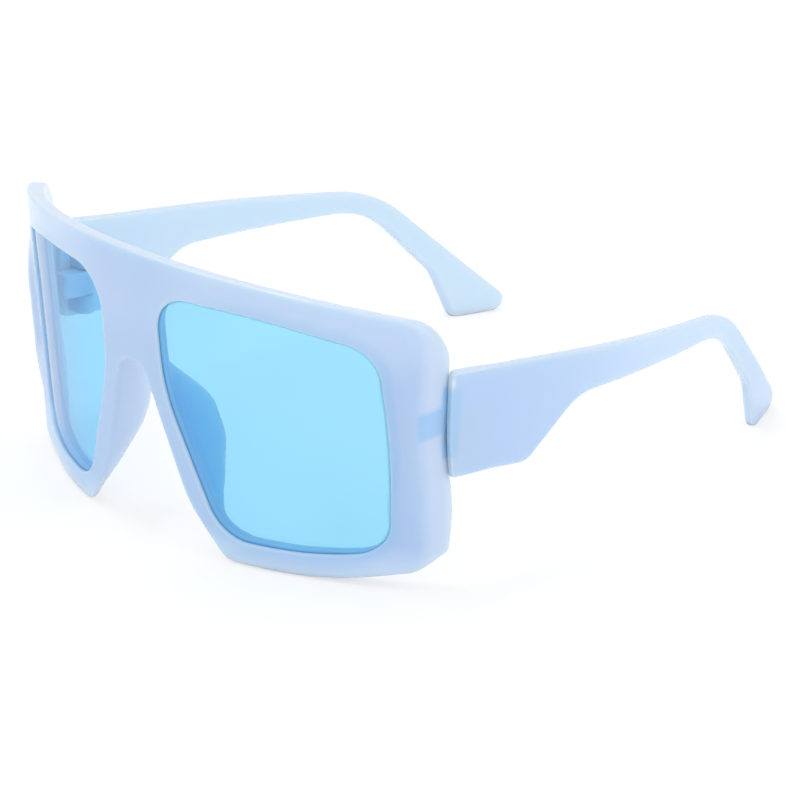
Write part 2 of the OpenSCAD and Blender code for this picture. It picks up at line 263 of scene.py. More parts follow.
@dataclass
class MouldedPlate:
    """A flat plate with holes and rounded edges, still to be bent.

    Attributes:
        edges: The outer edge first, then the holes.
        thickness: Thickness of the plate.
        spacing: Spacing of the points inside its faces.
        fine: Tells where the faces need closer points.
        fine_spacing: Spacing of the closer points.
        swell: Extra depth of the back face at each point.
        lean: How far the swell leans away from the middle, for one of its depth.
        swell_power: Power of the depth with which the swell grows.
        arc_steps: Steps in the rounding of an edge.
        wall_steps: Steps in the wall between two roundings.
        marks: Attributes of the mesh, each from the flat place and the depth of its points.
        border: Width of the first row inside a rounding, as a share of its radius.
        clear: Share of the spacing that inner points keep from the edges.
        middle: Half the width in which the lean turns from one side to the other.
    """

    edges: list[Edge]
    thickness: float
    spacing: float = 2.0
    fine: Optional[Callable[[Points], Points]] = None
    fine_spacing: float = 0.55
    swell: Optional[Callable[[Points], Points]] = None
    lean: Optional[Callable[[Points], Points]] = None
    swell_power: float = 1.5
    arc_steps: int = 5
    wall_steps: int = 3
    marks: dict[str, Rule] = field(default_factory=dict)
    border: float = 1.3
    clear: float = 0.6
    middle: float = 3.0

    def _profile(self, edge: Edge) -> list[tuple[float, float]]:
        """Works out the section of an edge.

        Args:
            edge: The edge.

        Returns:
            The inset and depth of each of its rings, from the front face to the back.
        """
        r, b, t = edge.radius, edge.back_radius, self.thickness
        turn = np.linspace(0.0, math.pi / 2, self.arc_steps + 1)
        front = [(r * (1 - math.sin(a)), r * (1 - math.cos(a))) for a in turn]
        wall = [(0.0, d) for d in np.linspace(r, t - b, self.wall_steps + 1)[1:-1]]
        back = [(b * (1 - math.sin(a)), t - b * (1 - math.cos(a))) for a in turn[::-1]]
        return [(r * self.border, 0.0), *front, *wall, *back, (b * self.border, t)]

    def _grid(self, loops: Sequence[Points], spacing: float) -> Points:
        """Lays a grid of points inside the loops, clear of them.

        Args:
            loops: The outline and its holes.
            spacing: Spacing of the grid.

        Returns:
            The grid's points.
        """
        low, high = loops[0].min(0), loops[0].max(0)
        xs, ys = (np.arange(low[k] + spacing / 2, high[k], spacing) for k in (0, 1))
        grid = np.stack(np.meshgrid(xs, ys), -1).reshape(-1, 2)
        grid = grid[inside(grid, loops)]
        return grid[nearest(grid, np.concatenate(loops)) > spacing * self.clear]

    def _fill(self, loops: list[Points], first: list[int]) -> tuple[Points, list[list[int]]]:
        """Fills a face between its rings.

        Args:
            loops: The rings that bound the face.
            first: Index of each ring's first vertex in the plate.

        Returns:
            The points added inside the face, and its triangles, whose indices past the rings are negative.
        """
        extra = self._grid(loops, self.spacing)
        if self.fine is not None:
            close = self._grid(loops, self.fine_spacing)
            extra = np.concatenate([extra[~self.fine(extra)], close[self.fine(close)]])
        coords: list[Vector] = []
        ids: list[int] = []
        bounds: list[tuple[int, int]] = []
        for loop, start in zip(loops, first):
            base, n = len(coords), len(loop)
            coords += [Vector(p) for p in loop.tolist()]
            ids += list(range(start, start + n))
            bounds += [(base + i, base + (i + 1) % n) for i in range(n)]
        coords += [Vector(p) for p in extra.tolist()]
        ids += [-1 - i for i in range(len(extra))]
        _, _, faces, origin, _, _ = delaunay_2d_cdt(coords, bounds, [], 0, SAME)
        triangles = [[origin[v][0] for v in face] for face in faces]
        left_of = {pair: k for k, tri in enumerate(triangles) for pair in zip(tri, tri[1:] + tri[:1])}
        # Triangles outside the outline or in a hole are reached from the far side of its edges.
        outer = len(loops[0])
        queue = [left_of.get((b, a) if k < outer else (a, b)) for k, (a, b) in enumerate(bounds)]
        walls = set(bounds) | {(b, a) for a, b in bounds}
        dropped: set[Optional[int]] = {None}
        while queue:
            k = queue.pop()
            if k not in dropped:
                dropped.add(k)
                tri = triangles[k]
                queue += [left_of.get((b, a)) for a, b in zip(tri, tri[1:] + tri[:1]) if (a, b) not in walls]
        return extra, [[ids[v] for v in tri] for k, tri in enumerate(triangles) if k not in dropped]

    def mesh(self, name: str) -> bpy.types.Mesh:
        """Builds the plate, front face towards -Y, with its depth along Y and an attribute for its edges.

        Args:
            name: Name of the mesh.

        Returns:
            The mesh, in metres.
        """
        points: list[Points] = []
        depth: list[Points] = []
        rim: list[Points] = []
        faces: list[list[int]] = []
        count = 0
        ends: tuple[tuple[list[Points], list[int]], ...] = ([], []), ([], [])
        for edge in self.edges:
            profile, n = self._profile(edge), len(edge.outline)
            for k, (inset, d) in enumerate(profile):
                ring, deep = edge.ring(inset, d, self.thickness)
                points.append(ring)
                depth.append(deep)
                rim.append(np.full(n, 1.0 - min(1.0, inset / edge.radius)))
                if k:
                    a, b = count - n, count
                    quads = [[a + i, a + (i + 1) % n, b + (i + 1) % n, b + i] for i in range(n)]
                    faces += quads if edge.hole else [quad[::-1] for quad in quads]
                if k in (0, len(profile) - 1):
                    loops, firsts = ends[k > 0]
                    loops.append(ring)
                    firsts.append(count)
                count += n
        for is_back, (loops, firsts) in enumerate(ends):
            extra, triangles = self._fill(loops, firsts)
            points.append(extra)
            depth.append(np.full(len(extra), self.thickness * is_back))
            rim.append(np.zeros(len(extra)))
            triangles = [[v if v >= 0 else count - 1 - v for v in tri] for tri in triangles]
            faces += [tri[::-1] for tri in triangles] if is_back else triangles
            count += len(extra)
        flat, deep = np.concatenate(points), np.concatenate(depth)
        marked = {label: rule(flat, deep) for label, rule in self.marks.items()}
        marked["rim"] = np.concatenate(rim)
        if self.swell is not None:
            more = self.swell(flat) * np.clip(deep / self.thickness, 0.0, 1.0) ** self.swell_power
            away = np.clip(flat[:, 0] / self.middle, -1.0, 1.0) * more * (self.lean(flat) if self.lean else 0.0)
            flat, deep = flat + np.stack([away, np.zeros(len(more))], 1), deep + more
        mesh = bpy.data.meshes.new(name)
        mesh.from_pydata((np.stack([flat[:, 0], deep, flat[:, 1]], 1) * MM).tolist(), [], faces)
        for label, values in marked.items():
            mesh.attributes.new(label, "FLOAT", "POINT").data.foreach_set("value", values)
        mesh.polygons.foreach_set("use_smooth", [True] * len(mesh.polygons))
        mesh.update()
        return mesh


def coordinates(mesh: bpy.types.Mesh) -> Points:
    """Reads the places of a mesh's vertices.

    Args:
        mesh: The mesh.

    Returns:
        An array of three columns, in millimetres.
    """
    co = np.empty(len(mesh.vertices) * 3)
    mesh.vertices.foreach_get("co", co)
    return co.reshape(-1, 3) / MM


def placed(name: str, data: bpy.types.ID) -> bpy.types.Object:
    """Adds an object to the scene.

    Args:
        name: Its name.
        data: Its mesh, lamp or camera.

    Returns:
        The object.
    """
    obj = bpy.data.objects.new(name, data)
    bpy.context.scene.collection.objects.link(obj)
    return obj


def settled(obj: bpy.types.Object) -> bpy.types.Mesh:
    """Returns an object's mesh with its modifiers carried out."""
    return bpy.data.meshes.new_from_object(obj.evaluated_get(bpy.context.evaluated_depsgraph_get()))


def joined(name: str, meshes: Sequence[bpy.types.Mesh], material: bpy.types.Material) -> bpy.types.Object:
    """Unites closed meshes into one moulding.

    Args:
        name: Name of the piece.
        meshes: The meshes, the main one first.
        material: Their finish.

    Returns:
        The piece's object, at the origin.
    """
    piece = placed(name, meshes[0])
    others = [placed("joined_part", mesh) for mesh in meshes[1:]]
    for other in others:
        modifier = piece.modifiers.new("join", "BOOLEAN")
        modifier.operation = "UNION"
        modifier.solver = "EXACT"
        modifier.object = other
    if others:
        result = settled(piece)
        piece.modifiers.clear()
        piece.data = result
        work = bmesh.new()
        work.from_mesh(result)
        bmesh.ops.remove_doubles(work, verts=work.verts, dist=MERGED)
        bmesh.ops.dissolve_degenerate(work, edges=work.edges, dist=SLIVER)
        work.to_mesh(result)
        work.free()
        for other in others:
            bpy.data.objects.remove(other)
    for vertex in piece.data.vertices:
        vertex.co.z = max(vertex.co.z, 0.0)
    piece.data.name = name
    piece.data.materials.clear()
    piece.data.materials.append(material)
    piece.data.polygons.foreach_set("use_smooth", [True] * len(piece.data.polygons))
    piece.data.set_sharp_from_angle(angle=SHARP)
    LOG.info("%s: %d faces", name, len(piece.data.polygons))
    return piece


# ---- Nodes ----


class NodeBench:
    """Short ways to add and link the nodes of a tree."""

    def __init__(self, tree: bpy.types.NodeTree) -> None:
        """Keeps the tree's nodes and links at hand."""
        self.nodes, self.links = tree.nodes, tree.links

    @cached_property
    def where(self) -> Socket:
        """The Object coordinates."""
        return self.add("ShaderNodeTexCoord").outputs["Object"]

    @property
    def shader(self) -> bpy.types.Node:
        """The Principled shader that a material starts with."""
        return self.nodes["Principled BSDF"]

    def fill(self, node: bpy.types.Node, given: dict[str | int, object]) -> None:
        """Sets or links inputs of a node.

        Args:
            node: The node.
            given: A constant or another node's result for each input, by name or number.
        """
        for label, value in given.items():
            if isinstance(value, Socket):
                self.links.new(value, node.inputs[label])
            else:
                node.inputs[label].default_value = value

    def add(self, kind: str, given: Optional[dict[str | int, object]] = None, **settings: str) -> bpy.types.Node:
        """Adds a node.

        Args:
            kind: Its type.
            given: A constant or another node's result for each input, by name or number.
            settings: Its other settings.

        Returns:
            The node.
        """
        node = self.nodes.new(kind)
        for label, value in settings.items():
            setattr(node, label, value)
        self.fill(node, given or {})
        return node

    def calc(self, kind: str, *values: float | Socket) -> Socket:
        """Returns the result of a Math node of a kind."""
        return self.add("ShaderNodeMath", dict(enumerate(values)), operation=kind).outputs[0]

    def noise(self, scale: float, low: float = 0.0, high: float = 1.0, detail: float = 1.0,
              span: Span = (0.3, 0.7)) -> Socket:
        """Adds a noise on Object coordinates, stretched to a range.

        Args:
            scale: Its scale, for metres.
            low: Lowest result.
            high: Highest result.
            detail: Its detail.
            span: Part of the noise that the range covers.

        Returns:
            The result.
        """
        noise = self.add("ShaderNodeTexNoise", {"Scale": scale, "Detail": detail, "Vector": self.where})
        spread = {"From Min": span[0], "From Max": span[1], "To Min": low, "To Max": high, "Value": noise.outputs[0]}
        return self.add("ShaderNodeMapRange", spread, interpolation_type="SMOOTHSTEP").outputs[0]

    def attribute(self, name: str) -> Socket:
        """Returns the value of one of the mesh's attributes."""
        return self.add("ShaderNodeAttribute", attribute_name=name).outputs["Fac"]

    def blend(self, factor: Socket, first: Colour | Socket, second: Colour) -> Socket:
        """Mixes two colours by a factor.

        Args:
            factor: The factor.
            first: Colour where it is 0.
            second: Colour where it is 1.

        Returns:
            The mixed colour.
        """
        first = first if isinstance(first, Socket) else (*first, 1.0)
        given = {"Factor": factor, "A": first, "B": (*second, 1.0)}
        return self.add("ShaderNodeMix", given, data_type="RGBA").outputs["Result"]

    def seen(self) -> Socket:
        """Returns 1 on the rays by which the camera sees, straight or through a lens, and 0 on others."""
        path = self.add("ShaderNodeLightPath").outputs
        return self.calc("MAXIMUM", path["Is Camera Ray"], path["Is Transmission Ray"])

    def end(self, factor: Socket, first: bpy.types.Node, second: bpy.types.Node) -> None:
        """Ends the tree in a mix of two shaders.

        Args:
            factor: Share of the second one.
            first: The first shader.
            second: The second shader.
        """
        mix = self.add("ShaderNodeMixShader", {0: factor, 1: first.outputs[0], 2: second.outputs[0]})
        leave = next(node for node in self.nodes if node.type.startswith("OUTPUT"))
        self.links.new(mix.outputs[0], leave.inputs["Surface"])


def material_bench(name: str) -> tuple[bpy.types.Material, NodeBench]:
    """Starts a material.

    Args:
        name: Its name.

    Returns:
        The material and a bench for its nodes.
    """
    material = bpy.data.materials.new(name)
    material.use_nodes = True
    return material, NodeBench(material.node_tree)


@dataclass
class BendRule:
    """A Geometry Nodes tree that bends a flat plate by a rule.

    Attributes:
        bend: Which rule.
        radius: Radius of the bend.
        place: For a wrap, the depth of its axis; for a temple, the place of its outer face.
        start: Where a temple starts to turn inwards.
    """

    bend: Bend
    radius: float
    place: float
    start: float = 0.0

    def _tree(self, material: bpy.types.Material) -> tuple[bpy.types.NodeTree, dict[str, str]]:
        """Builds the tree.

        Args:
            material: The finish that the tree sets at its end.

        Returns:
            The tree, and the identifier of each named input.
        """
        tree = bpy.data.node_groups.new(f"bend_{self.bend.value}", "GeometryNodeTree")
        face = tree.interface
        face.new_socket("Geometry", in_out="INPUT", socket_type="NodeSocketGeometry")
        named = {
            label: face.new_socket(label, in_out="INPUT", socket_type="NodeSocketFloat").identifier
            for label in ("Bend Radius", "Place", "Bend Start")
        }
        face.new_socket("Geometry", in_out="OUTPUT", socket_type="NodeSocketGeometry")
        bench = NodeBench(tree)
        calc = bench.calc
        entry, leave = bench.add("NodeGroupInput"), bench.add("NodeGroupOutput")
        at = bench.add("GeometryNodeInputPosition")
        x, y, z = bench.add("ShaderNodeSeparateXYZ", {0: at.outputs[0]}).outputs
        radius, place, start = (entry.outputs[label] for label in named)
        if self.bend is Bend.WRAP:
            reach = calc("SUBTRACT", radius, y)
            chord = calc("SQRT", calc("SUBTRACT", calc("MULTIPLY", reach, reach), calc("MULTIPLY", x, x)))
            parts = (x, calc("SUBTRACT", place, chord), z)
        else:
            run = calc("MAXIMUM", calc("SUBTRACT", x, start), 0.0)
            chord = calc("SQRT", calc("SUBTRACT", calc("MULTIPLY", radius, radius), calc("MULTIPLY", run, run)))
            parts = (calc("SUBTRACT", calc("SUBTRACT", place, y), calc("SUBTRACT", radius, chord)), x, z)
        join = bench.add("ShaderNodeCombineXYZ", dict(enumerate(parts)))
        flat = entry.outputs["Geometry"]
        move = bench.add("GeometryNodeSetPosition", {"Geometry": flat, "Position": join.outputs[0]})
        real = bench.add("GeometryNodeRealizeInstances", {0: move.outputs[0]})
        paint = bench.add("GeometryNodeSetMaterial", {"Geometry": real.outputs[0], "Material": material})
        bench.links.new(paint.outputs[0], leave.inputs[0])
        return tree, named

    def apply(self, mesh: bpy.types.Mesh, material: bpy.types.Material) -> bpy.types.Mesh:
        """Bends a plate.

        Args:
            mesh: The flat plate.
            material: Its finish.

        Returns:
            The bent mesh, with no modifier left.
        """
        obj = placed("flat_plate", mesh)
        modifier = obj.modifiers.new("bend", "NODES")
        modifier.node_group, named = self._tree(material)
        for key, size in zip(named.values(), (self.radius, self.place, self.start)):
            modifier[key] = size * MM
        result = settled(obj)
        bpy.data.objects.remove(obj)
        return result


# ---- Finishes ----


@dataclass(frozen=True)
class FrostedPlastic:
    """Milky moulded plastic that lets some light through.

    Attributes:
        name: Name of the material.
        body: Colour of the thick faces.
        cloud: Colour that its faint cloudiness leans to.
        thin: Painted light, the colour where light would glow through thin plastic or shine from behind.
        edge: Colour of the painted highlight that the rounded edges lean to.
        edge_highlight_share: How far they lean to it.
        deep: Colour of the painted shade where a hinge or a lens's edge lies behind it.
        cloud_scale: Scale of the cloudiness, and wave_scale, of the faint relief.
        wave_span: Part of the noise that the relief uses.
        gloss_scale: Scale of the patches of gloss, and roughness, their two ends.
    """

    name: str = "ice_blue_plastic"
    body: Colour = (0.45, 0.615, 0.86)
    cloud: Colour = (0.475, 0.635, 0.87)
    thin: Colour = (0.66, 0.79, 0.96)
    edge: Colour = (0.64, 0.725, 0.88)
    edge_highlight_share: float = 0.6
    deep: Colour = (0.31, 0.565, 0.89)
    cloud_scale: float = 14.0
    wave_scale: float = 60.0
    wave_span: Span = (0.2, 0.8)
    gloss_scale: float = 45.0
    roughness: Span = (0.21, 0.26)

    def build(self) -> bpy.types.Material:
        """Builds the material.

        Returns:
            The material.
        """
        material, bench = material_bench(self.name)
        colour = bench.blend(bench.noise(self.cloud_scale), self.body, self.cloud)
        # Painted light: paler where light would glow through thin plastic, also lifting places that lie in shade.
        colour = bench.blend(bench.attribute("thin"), colour, self.thin)
        # Painted highlight: the rounded edges lean to a paler colour.
        colour = bench.blend(bench.calc("MULTIPLY", bench.attribute("rim"), self.edge_highlight_share), colour, self.edge)
        # Painted shade: deeper blue where the hinge or a lens's edge lies behind the plastic.
        colour = bench.blend(bench.attribute("behind"), colour, self.deep)
        waves = bench.noise(self.wave_scale, span=self.wave_span)
        relief = bench.add("ShaderNodeBump", {"Strength": 0.04, "Distance": 0.0002, "Height": waves})
        bench.fill(bench.shader, {
            "Base Color": colour,
            "Subsurface Weight": 0.6,
            "Subsurface Radius": (0.6, 0.85, 1.0),
            "Subsurface Scale": 0.0045,
            "Transmission Weight": 0.12,
            "IOR": 1.49,
            "Coat Weight": 0.3,
            "Coat Roughness": 0.06,
            "Roughness": bench.noise(self.gloss_scale, *self.roughness),
            "Normal": relief.outputs[0],
        })
        return material


@dataclass(frozen=True)
class TintedLens:
    """Clear sky-blue lens: it lets white through as light blue, and has a painted shadow where it enters its groove.

    Attributes:
        name: Name of the material.
        tint: What one surface lets through, so two give the lens's colour.
        slant: The same where the lens is seen at a slant, through more of it.
        seat_shadow: The same for the painted shadow where the lens meets its groove.
        gloss: Least share of light that its surface throws back.
        roughness: Its roughness.
        haze: How far it leans to the painted shadow's colour in faint patches, and haze_scale, their scale.
    """

    name: str = "sky_blue_lens"
    tint: Colour = (0.59, 0.88, 1.0)
    slant: Colour = (0.44, 0.76, 1.0)
    seat_shadow: Colour = (0.12, 0.32, 0.50)
    gloss: float = 0.04
    roughness: float = 0.03
    haze: Span = (0.0, 0.03)
    haze_scale: float = 22.0

    def build(self) -> bpy.types.Material:
        """Builds the material.

        Returns:
            The material.
        """
        material, bench = material_bench(self.name)
        bench.nodes.remove(bench.shader)
        facing = bench.add("ShaderNodeLayerWeight").outputs["Facing"]
        tint = bench.blend(bench.calc("POWER", facing, 2.0), self.tint, self.slant)
        # Painted shadow: the lens darkens where it meets its groove.
        amount = bench.calc("MAXIMUM", bench.attribute("seat_shadow"), bench.noise(self.haze_scale, *self.haze))
        through = bench.add("ShaderNodeBsdfTransparent", {"Color": bench.blend(amount, tint, self.seat_shadow)})
        shine = bench.add("ShaderNodeBsdfGlossy", {"Roughness": self.roughness})
        share = bench.add("ShaderNodeMapRange", {"To Min": self.gloss, "Value": bench.calc("POWER", facing, 5.0)})
        bench.end(share.outputs[0], through, shine)
        return material


@dataclass(frozen=True)
class TurnedSteel:
    """Bright turned steel of the small hinge screws.

    Attributes:
        name: Name of the material.
        colour: Colour of the steel.
        worn: Colour of its darker turning marks, and mark_scale, their scale.
        roughness: Its two ends, and grain_scale, the scale on which it changes.
    """

    name: str = "screw_steel"
    colour: Colour = (0.64, 0.65, 0.67)
    worn: Colour = (0.42, 0.43, 0.45)
    mark_scale: float = 700.0
    grain_scale: float = 900.0
    roughness: Span = (0.25, 0.5)

    def build(self) -> bpy.types.Material:
        """Builds the material.

        Returns:
            The material.
        """
        material, bench = material_bench(self.name)
        bench.fill(bench.shader, {
            "Metallic": 1.0,
            "Base Color": bench.blend(bench.noise(self.mark_scale, detail=2.0), self.colour, self.worn),
            "Roughness": bench.noise(self.grain_scale, *self.roughness, detail=3.0),
        })
        return material


# ---- Stance and hinge ----


@dataclass(frozen=True)
class Stance:
    """How the open glasses stand on the floor.

    Attributes:
        front_lean: Lean of the front from upright.
        rest_tilt: Fall of the temples to the back.
        shift: Shift along Y that centres the glasses.
        lift: Lift that puts the lower rim on the floor.
    """

    front_lean: float = 4.65
    rest_tilt: float = 5.0
    shift: float = -52.2636
    lift: float = 1.61543

    @property
    def front(self) -> Matrix:
        """Matrix from the front's own frame to the room."""
        return self._place(self.front_lean)

    @property
    def temples(self) -> Matrix:
        """Matrix from the temples' own frame to the room."""
        return self._place(-self.rest_tilt)

    @property
    def pantoscopic(self) -> float:
        """Angle between the front and the square to the temples, in radians."""
        return math.radians(self.front_lean + self.rest_tilt)

    def _place(self, angle: float) -> Matrix:
        """Returns the matrix for a turn about X and the shift and lift."""
        turn = Matrix.Rotation(math.radians(angle), 4, "X")
        return Matrix.Translation((0.0, self.shift * MM, self.lift * MM)) @ turn


@dataclass
class HingeKnuckle:
    """A moulded hinge knuckle: a block with a round end and a bore for the screw.

    Attributes:
        radius: Radius of the round end.
        bore: Radius of the bore.
        edge: Radius of its rounded edges.
        bore_edge: Radius of the edges of the bore.
        bore_steps: Steps round the bore.
        spacing: Spacing of the points along its outline.
    """

    radius: float = 2.5
    bore: float = 0.95
    edge: float = 0.35
    bore_edge: float = 0.12
    bore_steps: int = 24
    spacing: float = 0.5

    def mesh(self, centre: tuple[float, float], reach: tuple[float, float], low: float, high: float) -> bpy.types.Mesh:
        """Builds one knuckle, upright in the temples' own frame.

        Args:
            centre: X and Y of the bore.
            reach: X and Y of the far end of the block, from the bore.
            low: Lower face.
            high: Upper face.

        Returns:
            The mesh, in metres.
        """
        end = np.array(reach)
        ahead = end / np.linalg.norm(end)
        across = np.array([-ahead[1], ahead[0]]) * self.radius
        heel = -ahead * self.radius
        corners = [end - across, end + across, heel + across, heel - across]
        outline = rounded(corners, [2 * self.edge, 2 * self.edge, self.radius, self.radius])
        turn = np.linspace(0.0, 2 * math.pi, self.bore_steps, endpoint=False)
        bore = np.stack([np.cos(turn), np.sin(turn)], 1) * self.bore
        edges = [Edge(resampled(outline, self.spacing), radius=self.edge, back_radius=self.edge),
                 Edge(bore, hole=True, radius=self.bore_edge, back_radius=self.bore_edge)]
        # The knuckles carry full painted light and no painted shade.
        plate = MouldedPlate(edges, high - low, spacing=1.0, arc_steps=3, wall_steps=1,
                             marks={"thin": lambda flat, deep: np.ones(len(flat)),
                                    "behind": lambda flat, deep: np.zeros(len(flat))})
        mesh = plate.mesh("hinge_knuckle")
        # The plate's X, depth and Z become X, downward Z and Y of the knuckle.
        x, y, z = centre[0] * MM, centre[1] * MM, high * MM
        mesh.transform(Matrix(((1, 0, 0, x), (0, 0, 1, y), (0, -1, 0, z), (0, 0, 0, 1))))
        return mesh


@dataclass
class HingeSizes:
    """Sizes that both halves of a hinge share, in the temples' own frame.

    Attributes:
        x: Place of the screw from the middle.
        y: Depth of the screw behind the front's ends.
        z: Height of the hinge's middle.
        height: Height of the whole hinge.
        middle: Height of the front's knuckle.
        gap: Gap between two knuckles.
        root: How far the front's knuckle reaches forwards into the front.
    """

    x: float = 66.6
    y: float = 4.6
    z: float = 36.4
    height: float = 16.6
    middle: float = 6.4
    gap: float = 0.2
    root: float = 8.5

    @property
    def fixed_levels(self) -> tuple[float, float]:
        """Lower and upper face of the front's knuckle."""
        return self.z - self.middle / 2, self.z + self.middle / 2

    @property
    def turning_levels(self) -> list[tuple[float, float]]:
        """Lower and upper face of each of the temple's knuckles."""
        half, mid = self.height / 2, self.middle / 2 + self.gap
        return [(self.z - half, self.z - mid), (self.z + mid, self.z + half)]


# ---- Front ----

# Corners of a lens opening, as shares of its width and height, and the radii of their roundings.
OPENING_SHARES = [(-0.5, 0.6), (-0.262, 0.0), (0.12, -0.008), (0.482, 0.012), (0.507, 0.46), (0.482, 0.875),
                  (0.01, 0.995), (-0.5, 1.01)]
OPENING_RADII = [45.0, 12.0, 100.0, 9.0, 120.0, 10.5, 110.0, 9.5]


@dataclass
class Front:
    """The front: brow, rims, bridge, nose pads and the hinges' middle knuckles in one moulding.

    Attributes:
        stance: How the glasses stand.
        brow_drop: Fall of the brow's front edge from the middle to the ends, drawn with brow_points each side.
        foot_taper: How far the ends draw in towards their feet.
        corner_level: Height of the lower outer corners, as a share; widest_level, of the widest place.
        foot_radius: Radius of the lower outer corners, side_radius, of the ends, and brow_radius, of the brow.
        lowest_place: Where the rims are lowest, as a share of half the width.
        nose_foot_level: Height of the inner feet, as a share.
        arch_radii: Radii of the nose arch, from its top to its feet, and of the lowest places.
        lens_angle: Turn of each lens's middle round the wrap, in degrees.
        opening_foot: Height of the openings' lower edge.
        pad_lean_least: How far the pads lean outwards for one of their depth, and pad_lean_more, how much
            more they do at their feet, over the places pad_lean_foot.
        fine_side: Place from which the faces have close points by the hinge, and fine_heights, their heights.
        fine_pad: Distance from the arch with close points, and fine_along, shares of the pads' length.
        pad_rise: Where the pads rise along the nose arch, as shares of their length; pad_fall, where they fall.
        pad_side: Where they fall off, away from the arch.
        brow_light: Heights over which the brow is painted lighter, as light glowing through thin plastic, and
            brow_sides, places from the middle.
        brow_share: How strong that painted light is there, and brow_middle, the share of that in the middle.
        foot_light: Heights over which the foot is painted lighter, and foot_share, by how much.
        back_light: How much lighter the back is painted, as light glowing through it.
        bar: Lower and upper edge of the painted shade where the hinge's bar lies behind, and post, of its post;
            bar_side and
        post_side, places from the middle, and bar_depth and post_depth, depths, over which they fade.
        hinge_share: How strong that painted shade is.
        seat_reach: Distances from the opening over which the painted shade of a lens's edge fades out, seat_side,
            places
        from the middle, and seat_depth, depths; seat_share, how strong it is.
        end_flare: How far the lower ends stand forward of the wrap.
        front_flare: Heights over which the flare of the front face fades; front_foot, over which its foot fades,
            down to the share front_least.
        back_flare: The same for the back face, with back_foot and back_least.
        back_share: Flare of the back face as a share of the front face's.
        flare_rim: Distances from the opening over which the flare sets in, and flare_side, from the middle.
        feet_in: Places from which the inner feet are cut at the back, and feet_out, at which the cut ends.
        feet_rim: Distances from the opening over which the cut sets in, and feet_cut, its height.
        corner_side: Places over which the outer corners lift; corner_height, up to where, and corner_lift, how far.
        top_zone: Where the top's slope begins under the top edge, and the height in which it grows.
        low_zone: The same for the rounding of the lower back corners, over the floor, and foot_zone, for the feet.
        top_rounding: Radius and power of the rounding at the top's back.
        low_rounding: The same at the lower back corners, and low_share, its strength.
        rounding_drop: Drop of a full rounding, as a share of its radius.
        corner_reach: Share of the upper corner's radius over which the top follows its arc.
        outline_spacing: Spacing of the points along the outline, and rim_spacing, along an opening.
        near_spacing: Spacing of the points from which distances to an opening are measured.
    """

    stance: Stance
    hinge: HingeSizes = field(default_factory=HingeSizes)
    width: float = 142.0
    height: float = 75.9
    wrap_radius: float = 100.4
    thickness: float = 4.8
    brow_drop: float = 10.5
    brow_points: int = 10
    foot_taper: float = 1.8
    corner_level: float = 0.02
    widest_level: float = 0.26
    foot_radius: float = 5.2
    side_radius: float = 60.0
    brow_radius: float = 40.0
    corner_radius: float = 6.8
    lowest_place: float = 0.64
    nose_foot_level: float = 0.007
    arch_radii: tuple[float, ...] = (3.5, 30.0, 4.5, 60.0)
    nose_height: float = 46.4
    nose_foot_width: float = 49.2
    nose_top_width: float = 7.2
    nose_flare_height: float = 14.0
    nose_flare_width: float = 29.0
    pad_length: float = 34.0
    pad_depth: float = 9.3
    pad_rise: Span = (-0.28, 0.43)
    pad_fall: Span = (0.58, 1.12)
    pad_side: Span = (1.9, 4.2)
    pad_lean_least: float = 0.22
    pad_lean_more: float = 0.45
    pad_lean_foot: Span = (-4.0, 8.0)
    fine_side: float = 62.0
    fine_heights: Span = (24.0, 56.0)
    fine_pad: float = 5.0
    fine_along: Span = (-0.3, 1.2)
    lens_angle: float = 22.3
    opening_width: float = 57.0
    opening_height: float = 59.4
    opening_foot: float = 6.6
    edge_radius: float = 1.35
    back_edge_radius: float = 0.9
    opening_edge_radius: float = 0.6
    brow_light: Span = (48.0, 62.0)
    brow_sides: Span = (6.0, 28.0)
    brow_share: float = 0.5
    brow_middle: float = 0.35
    foot_light: Span = (2.0, 11.0)
    foot_share: float = 0.75
    back_light: float = 0.9
    bar: Span = (37.5, 44.0)
    bar_side: Span = (69.4, 70.6)
    bar_depth: Span = (3.6, 4.2)
    post: Span = (31.0, 48.5)
    post_side: Span = (70.0, 70.8)
    post_depth: Span = (2.9, 3.5)
    hinge_share: float = 0.75
    seat_shadow_reach: Span = (1.4, 3.4)
    seat_shadow_side: Span = (18.0, 34.0)
    seat_shadow_depth: Span = (1.5, 3.0)
    seat_shadow_share: float = 0.4
    end_flare: float = 2.5
    front_flare: Span = (39.0, 62.0)
    front_foot: Span = (4.0, 22.0)
    front_least: float = 0.55
    back_flare: Span = (33.0, 56.0)
    back_foot: Span = (10.0, 32.0)
    back_least: float = 0.4
    back_share: float = 0.6
    flare_rim: Span = (0.2, 7.0)
    flare_side: Span = (48.0, 62.0)
    feet_in: Span = (12.0, 18.0)
    feet_out: Span = (27.0, 38.0)
    feet_rim: Span = (0.3, 4.0)
    feet_cut: float = 5.0
    corner_side: Span = (50.0, 66.0)
    corner_height: float = 12.0
    corner_lift: float = 1.6
    top_zone: Span = (9.0, 8.0)
    low_zone: Span = (10.0, 9.0)
    foot_zone: Span = (16.0, 15.0)
    top_rounding: Span = (6.5, 2.4)
    low_rounding: Span = (11.0, 1.5)
    low_share: float = 0.5
    rounding_drop: float = 0.62
    corner_reach: float = 0.98
    outline_spacing: float = 0.7
    rim_spacing: float = 1.0
    near_spacing: float = 0.5

    @property
    def half_width(self) -> float:
        """Half the width."""
        return self.width / 2

    @property
    def axis_depth(self) -> float:
        """Depth of the wrap's axis behind the front's ends."""
        return math.sqrt(self.wrap_radius**2 - self.half_width**2)

    @property
    def brow_slope(self) -> float:
        """Slope of the flat top, downwards to the back."""
        return self.brow_drop / (self.wrap_radius - self.axis_depth)

